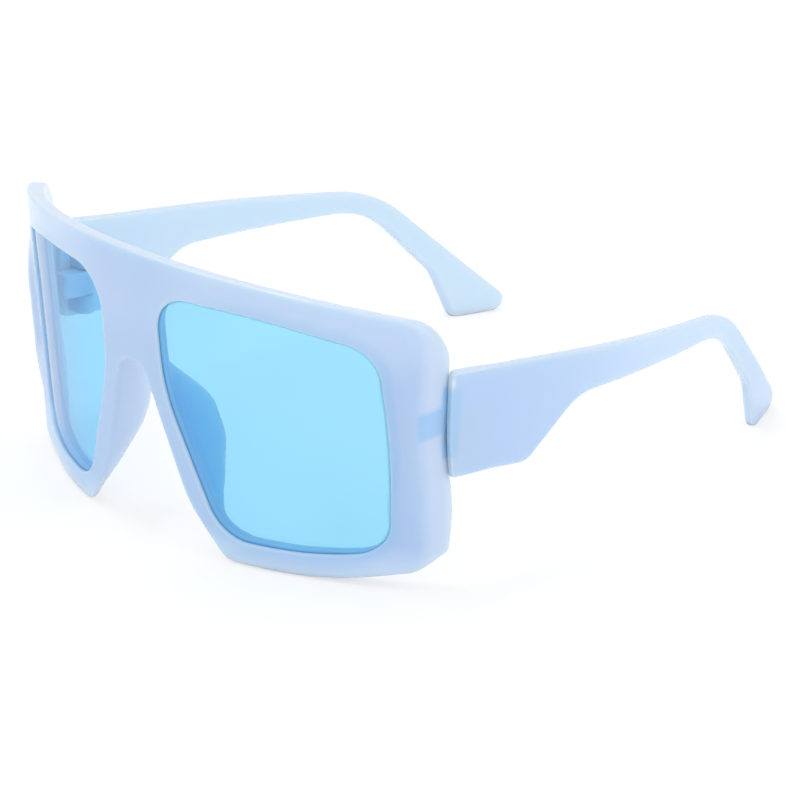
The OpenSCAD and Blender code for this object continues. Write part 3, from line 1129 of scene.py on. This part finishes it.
    def face_depth(self, x: float | Points, depth: float | Points = 0.0) -> Points:
        """Returns Y of the surface at a depth under the outer face."""
        return self.axis_depth - np.sqrt((self.wrap_radius - depth) ** 2 - x**2)

    def brow_height(self, x: float | Points) -> Points:
        """Returns the height of the brow's front edge."""
        return self.height - self.brow_drop - self.brow_slope * self.face_depth(x)

    def outline(self) -> Points:
        """Draws the front's outline, seen from the front.

        Returns:
            The outline, counter-clockwise.
        """
        half = self.half_width
        side = [
            (half - self.foot_taper, self.corner_level * self.height, self.foot_radius),
            (half, self.widest_level * self.height, self.side_radius),
            (half, self.height - self.brow_drop, self.corner_radius),
        ]
        places = [half * k / self.brow_points for k in range(self.brow_points - 1, 0, -1)]
        side += [(x, float(self.brow_height(x)), self.brow_radius) for x in places]
        corners = [
            (self.nose_top_width / 2, self.nose_height),
            (self.nose_flare_width / 2, self.nose_flare_height),
            (self.nose_foot_width / 2, self.nose_foot_level * self.height),
            (self.lowest_place * half, 0.0),
        ]
        arch = [(*corner, radius) for corner, radius in zip(corners, self.arch_radii)]
        left = [(-x, z, radius) for x, z, radius in [*arch, *side][::-1]]
        points = [*side, (0.0, float(self.brow_height(0.0)), 0.0), *left, *arch]
        return rounded([point[:2] for point in points], [point[2] for point in points])

    def opening(self, grow: float = 0.0) -> Points:
        """Returns a lens opening's outline in its own plane, grown by a distance."""
        corners = [(u * self.opening_width, self.opening_foot + v * self.opening_height) for u, v in OPENING_SHARES]
        return offset(resampled(rounded(corners, OPENING_RADII), self.rim_spacing), -grow)

    def opening_at(self, side: Side, sink: float = 0.0) -> Rule:
        """Makes the rule that moves an opening's points into the front's plane at a depth.

        Args:
            side: Side of the opening.
            sink: How far under the front's face the depths begin.

        Returns:
            The rule.
        """
        turn = math.radians(self.lens_angle)

        def drawn(flat: Points, depth: Points) -> Points:
            """Places points of the lens's own plane on the wrapped surface.

            Args:
                flat: The points.
                depth: Their depths.

            Returns:
                Their places seen from the front.
            """
            u = flat[:, 0] * side.value
            reach = np.sqrt((self.wrap_radius - sink - depth) ** 2 - u**2)
            return np.stack([(u * math.cos(turn) + reach * math.sin(turn)) * side.value, flat[:, 1]], 1)

        return drawn

    def _pad_place(self, points: Points) -> tuple[Points, Points]:
        """Places points along the nose arch.

        Args:
            points: Flat places of the points.

        Returns:
            Each one's place along the arch and its distance from the arch's edge.
        """
        x, z = np.abs(points[:, 0]) - self.nose_flare_width / 2, points[:, 1] - self.nose_flare_height
        rise, run = self.nose_height - self.nose_flare_height, (self.nose_flare_width - self.nose_top_width) / 2
        low_rise, low_run = self.nose_flare_height, (self.nose_foot_width - self.nose_flare_width) / 2
        size, low_size = math.hypot(rise, run), math.hypot(low_run, low_rise)
        away = np.minimum((x * rise + z * run) / size, (x * low_rise + z * low_run) / low_size)
        return (z * rise - x * run) / size, away

    def pad_swell(self, points: Points) -> Points:
        """Works out how far the moulded nose pads stand out at the back.

        Args:
            points: Flat places of the points.

        Returns:
            The extra depth behind each one.
        """
        along, away = self._pad_place(points)
        (start, top), (turn, stop) = np.array([self.pad_rise, self.pad_fall]) * self.pad_length
        return self.pad_depth * eased(along, start, top) * fading(along, turn, stop) * fading(away, *self.pad_side)

    def pad_lean(self, points: Points) -> Points:
        """Returns how far the pads lean outwards for one of their depth, most at their feet."""
        return self.pad_lean_least + self.pad_lean_more * fading(self._pad_place(points)[0], *self.pad_lean_foot)

    def _fine(self, points: Points) -> Points:
        """Tells which points lie near the nose pads or a hinge.

        Args:
            points: Flat places of the points.

        Returns:
            A mask with one value a point.
        """
        along, away = self._pad_place(points)
        (low, high), (start, stop) = self.fine_heights, np.array(self.fine_along) * self.pad_length
        by_hinge = (np.abs(points[:, 0]) > self.fine_side) & (points[:, 1] > low) & (points[:, 1] < high)
        return ((away < self.fine_pad) & (along > start) & (along < stop)) | by_hinge

    def _from_openings(self, points: Points) -> Points:
        """Returns each point's distance from the nearest opening's edge."""
        rim = resampled(self.opening_at(Side.LEFT)(self.opening(), np.zeros(1)), self.near_spacing)
        return nearest(np.stack([np.abs(points[:, 0]), points[:, 1]], 1), rim)

    def _painted_glow(self, points: Points, depth: Points) -> Points:
        """Tells where light is painted on the front, as glow through the plastic: at its brow, at its foot and at its
        back.

        Args:
            points: Flat places of the points.
            depth: Their depths.

        Returns:
            Each one's share of the painted light colour.
        """
        x, z = np.abs(points[:, 0]), points[:, 1]
        # Painted light on the brow, the foot and the back face.
        brow = self.brow_share * eased(z, *self.brow_light) * raised(self.brow_middle, eased(x, *self.brow_sides))
        foot = self.foot_share * fading(z, *self.foot_light)
        back = self.back_light * eased(depth, self.thickness / 2, self.thickness)
        return np.maximum(np.maximum(brow, foot), back)

    def _painted_shade(self, points: Points, depth: Points) -> Points:
        """Tells where shade is painted, where the hinge or a lens's edge lies behind the plastic.

        Args:
            points: Flat places of the points.
            depth: Their depths.

        Returns:
            Each one's share of the painted shade colour.
        """
        x, z = np.abs(points[:, 0]), points[:, 1]
        # Painted shade where the hinge's bar and post lie behind the plastic.
        bar = band(z, *self.bar) * eased(x, *self.bar_side) * fading(depth, *self.bar_depth)
        post = band(z, *self.post) * eased(x, *self.post_side) * eased(depth, *self.post_depth)
        # Painted shade along the lens openings, where a lens's edge lies behind.
        seat_shadow = self.seat_shadow_share * fading(self._from_openings(points), *self.seat_shadow_reach) * eased(x, *self.seat_shadow_side)
        return np.maximum(self.hinge_share * np.maximum(bar, post), seat_shadow * fading(depth, *self.seat_shadow_depth))

    def flare(self, points: Points, depth: Points) -> Points:
        """Works out how far the ends stand forward of the wrap, outside the openings and under the brow.

        Args:
            points: Flat places of the points.
            depth: Their depths.

        Returns:
            The distance forward at each point.
        """
        z, share = points[:, 1], np.clip(depth / self.thickness, 0.0, 1.0)
        front = fading(z, *self.front_flare) * raised(self.front_least, eased(z, *self.front_foot))
        back = self.back_share * fading(z, *self.back_flare) * raised(self.back_least, eased(z, *self.back_foot))
        outside = eased(self._from_openings(points), *self.flare_rim) * eased(np.abs(points[:, 0]), *self.flare_side)
        return self.end_flare * (front * (1.0 - share) + back * share) * outside

    def _shape_ends(self, mesh: bpy.types.Mesh) -> None:
        """Slopes the flat top to the back, and flares and rounds the ends and feet, before the bend.

        Args:
            mesh: The flat plate.
        """
        x, d, z = coordinates(mesh).T
        side = np.abs(x)
        radius = self.corner_radius
        into_corner = np.clip(side - (self.half_width - radius), 0.0, self.corner_reach * radius)
        top = self.brow_height(x) - radius + np.sqrt(radius**2 - into_corner**2)
        y = self.face_depth(x, d)
        high = np.clip((z - (top - self.top_zone[0])) / self.top_zone[1], 0.0, 1.0) ** 2
        low, foot = (np.clip((edge - z) / run, 0.0, 1.0) ** 2 for edge, run in (self.low_zone, self.foot_zone))
        back = float(self.face_depth(self.half_width, self.thickness))

        def rounding(radius: float, power: float) -> Points:
            """Returns the drop of a rounded back corner at each point's depth."""
            return self.rounding_drop * radius * (np.clip(y - (back - radius), 0.0, radius) / radius) ** power

        drop = high * (self.brow_slope * (y - self.face_depth(x)) + rounding(*self.top_rounding))
        d -= self.flare(np.stack([x, z], 1), d)
        z -= drop
        feet = eased(side, *self.feet_in) * fading(side, *self.feet_out)
        feet *= eased(self._from_openings(np.stack([x, z], 1)), *self.feet_rim)
        inner = self.feet_cut * foot * feet * np.clip(d / self.thickness, 0.0, 1.0) ** 2
        z += low * rounding(*self.low_rounding) * self.low_share + inner
        lifted = np.clip((self.corner_height - z) / self.corner_height, 0.0, 1.0)
        z += self.corner_lift * lifted * eased(side, *self.corner_side)
        mesh.vertices.foreach_set("co", (np.stack([x, d, z], 1) * MM).ravel())

    def build(self, material: bpy.types.Material) -> bpy.types.Object:
        """Builds the front.

        Args:
            material: Its finish.

        Returns:
            The piece, riding on the front's body in place of its solid.
        """
        outline, radius = resampled(self.outline(), self.outline_spacing), self.opening_edge_radius
        edges = [Edge(outline, radius=self.edge_radius, back_radius=self.back_edge_radius)]
        edges += [Edge(side.mirrored(self.opening()), hole=True, radius=radius, back_radius=radius,
                       drawn=self.opening_at(side)) for side in Side]
        # The plate's marks paint light and shade onto the front.
        plate = MouldedPlate(edges, self.thickness, fine=self._fine, swell=self.pad_swell, lean=self.pad_lean,
                             wall_steps=6, marks={"thin": self._painted_glow, "behind": self._painted_shade})
        mesh = plate.mesh("front_plate")
        self._shape_ends(mesh)
        parts = [BendRule(Bend.WRAP, self.wrap_radius, self.axis_depth).apply(mesh, material)]
        parts[0].transform(self.stance.front)
        for side in Side:
            centre = (side.value * self.hinge.x, self.hinge.y)
            lug = HingeKnuckle().mesh(centre, (0.0, -self.hinge.root), *self.hinge.fixed_levels)
            lug.transform(self.stance.temples)
            parts.append(lug)
        piece = joined("moulded_front", parts, material)
        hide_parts("front_frame")
        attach(piece, "front")
        return piece


@dataclass
class Lens:
    """A curved lens that sits in a groove of the front.

    Attributes:
        front: The front that holds it.
        side: Its side.
        thickness: Its thickness.
        setback: How far its face lies under the front's.
        bite: How far it reaches into the groove.
        seat_width: Width of the painted shadow line along the groove.
        seat_depths: How deep the painted shadow goes, inside the opening and in the groove.
        edge_radius: Radius of its edges.
        fine_width: Width of the strip of close points along the groove.
        rim_spacing: Spacing of the points from which distances to the opening are measured.
    """

    front: Front
    side: Side
    thickness: float = 2.0
    setback: float = 0.9
    bite: float = 1.0
    seat_shadow_width: float = 0.6
    seat_shadow_depths: Span = (0.3, 0.6)
    edge_radius: float = 0.25
    fine_width: float = 1.2
    rim_spacing: float = 0.25

    def build(self, material: bpy.types.Material) -> bpy.types.Object:
        """Builds the lens.

        Args:
            material: Its finish.

        Returns:
            The piece, riding on the front's body in place of its solid.
        """
        front, flat = self.front, self.side.mirrored(self.front.opening(self.bite))
        drawn = front.opening_at(self.side, self.setback)
        edge = Edge(flat, radius=self.edge_radius, back_radius=self.edge_radius, drawn=drawn)
        plate = MouldedPlate([edge], self.thickness, spacing=1.6, fine_spacing=0.5, arc_steps=2, wall_steps=1,
                             fine=lambda points: nearest(points, self._rim) < self.fine_width)
        mesh = plate.mesh(self.side.name_of("lens_plate"))
        self._mark_seat_shadow(mesh)
        bent = BendRule(Bend.WRAP, front.wrap_radius - self.setback, front.axis_depth).apply(mesh, material)
        bent.transform(front.stance.front)
        piece = joined(self.side.name_of("curved_lens"), [bent], material)
        self._smooth_faces(piece.data)
        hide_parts(self.side.name_of("lens"))
        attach(piece, "front")
        return piece

    def _smooth_faces(self, mesh: bpy.types.Mesh, near: float = 0.004) -> None:
        """Gives the two faces the true normals of their curve, so that reflections run evenly.

        Args:
            mesh: The lens's mesh.
            near: How close to the curve a point of a face lies.
        """
        front, to_room = self.front, self.front.stance.front
        from_room = to_room.inverted()
        outer = front.wrap_radius - self.setback
        normals = [vertex.normal.copy() for vertex in mesh.vertices]
        for vertex in mesh.vertices:
            place = (from_room @ vertex.co) / MM
            radial = Vector((place.x, place.y - front.axis_depth, 0.0))
            for radius, sign in ((outer, 1.0), (outer - self.thickness, -1.0)):
                if abs(radial.length - radius) < near:
                    normals[vertex.index] = to_room.to_3x3() @ (radial.normalized() * sign)
        mesh.normals_split_custom_set_from_vertices(normals)

    @cached_property
    def _opening(self) -> Points:
        """The opening's edge at the lens's face."""
        flat = self.side.mirrored(self.front.opening())
        return self.front.opening_at(self.side, self.setback)(flat, np.zeros(1))

    @cached_property
    def _rim(self) -> Points:
        """The same with closer points."""
        return resampled(self._opening, self.rim_spacing)

    def _mark_seat_shadow(self, mesh: bpy.types.Mesh) -> None:
        """Adds the attribute that paints a shadow on the lens where it enters its groove.

        Args:
            mesh: The flat plate.
        """
        x, depth, z = coordinates(mesh).T
        flat = np.stack([x, z], 1)
        # Painted shadow: a dark line along the groove's edge.
        line = np.clip(1.0 - nearest(flat, self._rim) / self.seat_shadow_width, 0.0, 1.0) * (depth < self.seat_shadow_depths[0])
        seat_shadow = np.where(inside(flat, [self._opening]), line, depth < self.seat_shadow_depths[1])
        mesh.attributes.new("seat_shadow", "FLOAT", "POINT").data.foreach_set("value", seat_shadow)


# ---- Temples ----

# Corners of a temple's lower edge, as shares of its length and of its top's height, and the radii of all its
# corners, from the lower front one round.
TEMPLE_SHARES = [(0.163, 0.49), (0.277, 0.752), (0.686, 0.808), (0.831, 0.43)]
TEMPLE_RADII = [0.7, 6.0, 15.0, 22.0, 9.0, 2.4, 3.2, 30.0, 0.7]


@dataclass
class Temple:
    """A temple with its hooked tip and its two turning knuckles, in one moulding.

    Attributes:
        stance: How the glasses stand.
        side: Its side.
        outer: Place of its outer face from the middle.
        top: Height of its upper edge at the hinge, and depth, its height there.
        slope: Fall of the upper edge towards the back.
        butt: Depth at which its end meets the front's.
        lip, lip_depth, lip_fall: How far its outer skin laps over the front's end, to which depth, and its slope.
        end_flare: How far its end follows the front's flare.
        bow_radius, bow_start: Radius and start of its turn inwards.
        soft_start, soft_run: Where its edges begin to grow round behind the end, and over which length.
        soft_least: Share of the rounding at the end.
        foot_share: Place of the corner that it rests on, along the length, and foot_sink, how far that corner
            lies under the floor before it is rounded.
        bend_share: Place of the bend of its hook along the length, and bend_drop, how far it lies lower.
        tip_level: Height of the tip, as a share of the top's.
        end_run: Length over which the lip and the flare fade.
        gap_places, gap_heights: Where light is painted as if through a gap of the hinge, and gap_soft, how softly it
            ends.
        thin_run, thin_share: Where light is painted on it towards the back, and how much.
        tip_run, tip_share: Where that painted light weakens again towards its tip, and by how much.
        hinge_heights, hinge_places: Where shade is painted where the hinge lies behind, with hinge_soft, how softly it
            ends.
        hinge_share: How strong the painted shade of the hinge is.
        fine_end: Place up to which its faces have close points.
        outline_spacing: Spacing of the points along its outline.
    """

    stance: Stance
    side: Side
    hinge: HingeSizes = field(default_factory=HingeSizes)
    length: float = 143.5
    thickness: float = 3.4
    outer: float = 72.9
    top: float = 51.8
    depth: float = 25.2
    slope: float = 0.046
    butt: float = 7.3686
    lip: float = 2.0
    lip_depth: float = 1.7
    lip_fall: float = 0.34
    end_flare: float = 2.25
    flare_heights: Span = (33.0, 58.0)
    bow_radius: float = 245.0
    bow_start: float = 37.0
    edge_radius: float = 1.1
    soft_start: float = 3.5
    soft_run: float = 9.0
    soft_least: float = 0.3
    foot_share: float = 0.876
    foot_sink: float = 0.624
    bend_share: float = 0.707
    bend_drop: float = 0.45
    tip_level: float = 0.225
    end_run: float = 9.0
    gap_places: Span = (-4.4, -2.6)
    gap_heights: Span = (48.6, 50.8)
    gap_soft: Span = (0.4, 0.5)
    thin_run: Span = (8.0, 78.0)
    thin_share: float = 0.7
    tip_run: Span = (95.0, 120.0)
    tip_share: float = 0.55
    hinge_heights: Span = (31.5, 48.0)
    hinge_places: Span = (-1.6, 1.0)
    hinge_soft: float = 0.9
    hinge_share: float = 0.55
    fine_end: float = 5.0
    outline_spacing: float = 0.8

    def _front_end(self, z: float | Points) -> float | Points:
        """Returns the place of the temple's front end at a height."""
        return self.butt / math.cos(self.stance.pantoscopic) - z * math.tan(self.stance.pantoscopic)

    def outline(self) -> Points:
        """Draws the temple's outline, seen from the side.

        Returns:
            The outline, counter-clockwise.
        """
        low, tilt = self.top - self.depth, math.radians(self.stance.rest_tilt)
        foot, bend = self.foot_share * self.length, self.bend_share * self.length
        foot_level = foot * math.tan(tilt) - self.stance.lift / math.cos(tilt)
        corners = [
            (self._front_end(low), low),
            *((u * self.length, v * self.top) for u, v in TEMPLE_SHARES),
            (foot, foot_level - self.foot_sink),
            (self.length, self.tip_level * self.top),
            (bend, self.top - self.slope * bend - self.bend_drop),
            (self._front_end(self.top), self.top),
        ]
        return rounded(corners, TEMPLE_RADII)

    def _lipped(self, flat: Points, depth: Points) -> Points:
        """Lets the end follow the front's, and its outer skin reach forwards over the rounded edge.

        Args:
            flat: Places of an edge's points.
            depth: Their depths.

        Returns:
            The moved places.
        """
        y, z = flat.T
        ahead = self.lip * np.clip((self.lip_depth - depth) / self.lip_fall, 0.0, 1.0)
        ahead = ahead + self.end_flare * fading(z, *self.flare_heights)
        fade = fading(y - self._front_end(z), 0.0, self.end_run)
        return flat - np.stack([fade * ahead, np.zeros(len(flat))], 1)

    def _painted_glow(self, points: Points, depth: Points) -> Points:
        """Tells where light is painted on the temple: towards its tip, on its inner side and in a gap of its hinge.

        Args:
            points: Flat places of the points.
            depth: Their depths.

        Returns:
            Each one's share of the painted light colour.
        """
        y, z = points.T
        # Painted light through a gap of the hinge, along the temple and on its inner side.
        gap = band(y, *self.gap_places, self.gap_soft[0]) * band(z, *self.gap_heights, self.gap_soft[1])
        along = self.thin_share * eased(y, *self.thin_run) * (1.0 - self.tip_share * eased(y, *self.tip_run))
        return np.maximum(np.maximum(along, eased(depth, self.thickness / 2, self.thickness)), gap)

    def _painted_shade(self, points: Points, depth: Points) -> Points:
        """Tells where shade is painted on the temple's outer side, where the hinge lies behind it.

        Args:
            points: Flat places of the points.
            depth: Their depths.

        Returns:
            Each one's share of the painted shade colour.
        """
        y, z = points.T
        # Painted shade where the hinge lies behind the outer side.
        shown = band(z, *self.hinge_heights, self.hinge_soft) * fading(y, *self.hinge_places)
        return self.hinge_share * shown * (depth < self.thickness / 2)

    def build(self, material: bpy.types.Material) -> bpy.types.Object:
        """Builds the temple.

        Args:
            material: Its finish.

        Returns:
            The piece, riding on its own body in place of its solid.
        """
        outline = resampled(self.outline(), self.outline_spacing)
        soft = np.clip((outline[:, 0] - self.soft_start) / self.soft_run, self.soft_least, 1.0)
        edge = Edge(outline, radius=self.edge_radius, back_radius=self.edge_radius, soft=soft, drawn=self._lipped)
        # The plate's marks paint light and shade onto the temple.
        plate = MouldedPlate([edge], self.thickness, spacing=2.5, arc_steps=6, wall_steps=8,
                             fine=lambda points: points[:, 0] < self.fine_end,
                             marks={"thin": self._painted_glow, "behind": self._painted_shade})
        bow = BendRule(Bend.TEMPLE, self.bow_radius, self.outer, self.bow_start)
        parts = [bow.apply(plate.mesh("temple_plate"), material)]
        centre = (self.hinge.x, self.hinge.y)
        reach = (self.outer - self.thickness / 2 - self.hinge.x, 0.0)
        parts += [HingeKnuckle().mesh(centre, reach, *levels) for levels in self.hinge.turning_levels]
        for part in parts:
            if self.side is Side.RIGHT:
                part.transform(Matrix.Scale(-1.0, 4, (1.0, 0.0, 0.0)))
                part.flip_normals()
            part.transform(self.stance.temples)
        piece = joined(self.side.name_of("moulded_temple"), parts, material)
        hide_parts(self.side.name_of("temple"))
        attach(piece, self.side.name_of("temple"))
        return piece


# ---- Studio ----


@dataclass(frozen=True)
class SoftBox:
    """A lamp with a soft, rectangular face.

    Attributes:
        name: Its name.
        place: Its place, in metres.
        size: Its two widths, in metres.
        power: Its power, in watts.
        aim: What it faces, in metres.
    """

    name: str
    place: Place
    size: Span
    power: float
    aim: Place = (0.0, -0.02, 0.04)

    def build(self) -> None:
        """Hangs the lamp and turns it to what it faces."""
        data = bpy.data.lights.new(self.name, "AREA")
        data.shape = "RECTANGLE"
        data.size, data.size_y = self.size
        data.energy = self.power
        lamp = placed(self.name, data)
        lamp.location = self.place
        lamp.rotation_euler = (Vector(self.place) - Vector(self.aim)).to_track_quat("Z", "Y").to_euler()


@dataclass(frozen=True)
class Studio:
    """White floor, soft light and the camera at the photograph's viewing angle.

    Attributes:
        camera_place: Place of the camera.
        azimuth: Turn of the camera round the glasses, in degrees.
        elevation: Its angle over the floor, in degrees.
        focal_length: Focal length of its lens, for a sensor of sensor_width.
        world_strength: Light of the white surroundings.
        floor_size: Half the width of the floor, in metres.
        floor_albedo: Share of light that the floor throws back.
        floor_glow: How far the camera sees the floor as plain white.
        lamps: The two soft boxes, and a strip for the glints.
    """

    camera_place: Place = (631.3, -605.76, 367.67)
    azimuth: float = 46.08
    elevation: float = 22.14
    focal_length: float = 168.8
    sensor_width: float = 36.0
    world_strength: float = 0.9
    floor_size: float = 6.0
    floor_albedo: float = 0.97
    floor_glow: float = 0.6
    lamps: tuple[SoftBox, ...] = (
        SoftBox("soft_box_above", (-0.35, -0.25, 0.9), (0.7, 0.7), 2.0),
        SoftBox("soft_box_side", (0.9, 0.15, 0.55), (0.5, 0.5), 1.4),
        SoftBox("strip_above", (-0.13, -0.06, 0.89), (0.34, 0.08), 0.5),
    )

    def camera(self) -> None:
        """Places the camera."""
        data = bpy.data.cameras.new("camera")
        data.sensor_width = self.sensor_width
        data.lens = self.focal_length
        data.clip_start, data.clip_end = 0.05, 20.0
        camera = placed("camera", data)
        a, e = math.radians(self.azimuth), math.radians(self.elevation)
        back = Vector((math.sin(a) * math.cos(e), -math.cos(a) * math.cos(e), math.sin(e)))
        camera.location = Vector(self.camera_place) * MM
        camera.rotation_euler = back.to_track_quat("Z", "Y").to_euler()
        bpy.context.scene.camera = camera

    def floor(self) -> None:
        """Lays the floor, which the camera sees partly as plain white."""
        mesh = bpy.data.meshes.new("floor")
        corners = [(x * self.floor_size, y * self.floor_size, 0) for x, y in ((-1, -1), (1, -1), (1, 1), (-1, 1))]
        mesh.from_pydata(corners, [], [(0, 1, 2, 3)])
        floor = placed("floor", mesh)
        material, bench = material_bench("white_floor")
        tone = (self.floor_albedo,) * 3 + (1.0,)
        bench.fill(bench.shader, {"Base Color": tone, "Roughness": 0.7, "Specular IOR Level": 0.1})
        share = bench.calc("MULTIPLY", bench.seen(), self.floor_glow)
        bench.end(share, bench.shader, bench.add("ShaderNodeEmission"))
        mesh.materials.append(material)

    def surroundings(self) -> None:
        """Sets the white surroundings, which the camera sees at full white."""
        world = bpy.data.worlds.new("white_room")
        bpy.context.scene.world = world
        world.use_nodes = True
        bench = NodeBench(world.node_tree)
        plain = bench.nodes["Background"]
        bench.fill(plain, {"Color": WHITE, "Strength": self.world_strength})
        bench.end(bench.seen(), plain, bench.add("ShaderNodeBackground", {"Color": WHITE}))

    def build(self) -> None:
        """Builds the whole studio."""
        self.camera()
        self.floor()
        self.surroundings()
        for lamp in self.lamps:
            lamp.build()
        bpy.context.scene.view_settings.view_transform = "Standard"


def main() -> None:
    """Builds the sunglasses and the studio, and keeps the solids that the mouldings replace, hidden."""
    logging.basicConfig(level=logging.INFO, format="%(message)s")
    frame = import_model()
    Studio().build()
    plastic, tint, steel = FrostedPlastic().build(), TintedLens().build(), TurnedSteel().build()
    stance = Stance()
    front = Front(stance)
    front.build(plastic)
    for side in Side:
        Lens(front, side).build(tint)
        Temple(stance, side).build(plastic)
        screw = frame["nodes"][side.name_of("hinge_screw")]
        screw.data.materials.clear()
        screw.data.materials.append(steel)
        LOG.info("%s: finished in steel", screw.name)


if __name__ == "__main__":
    main()
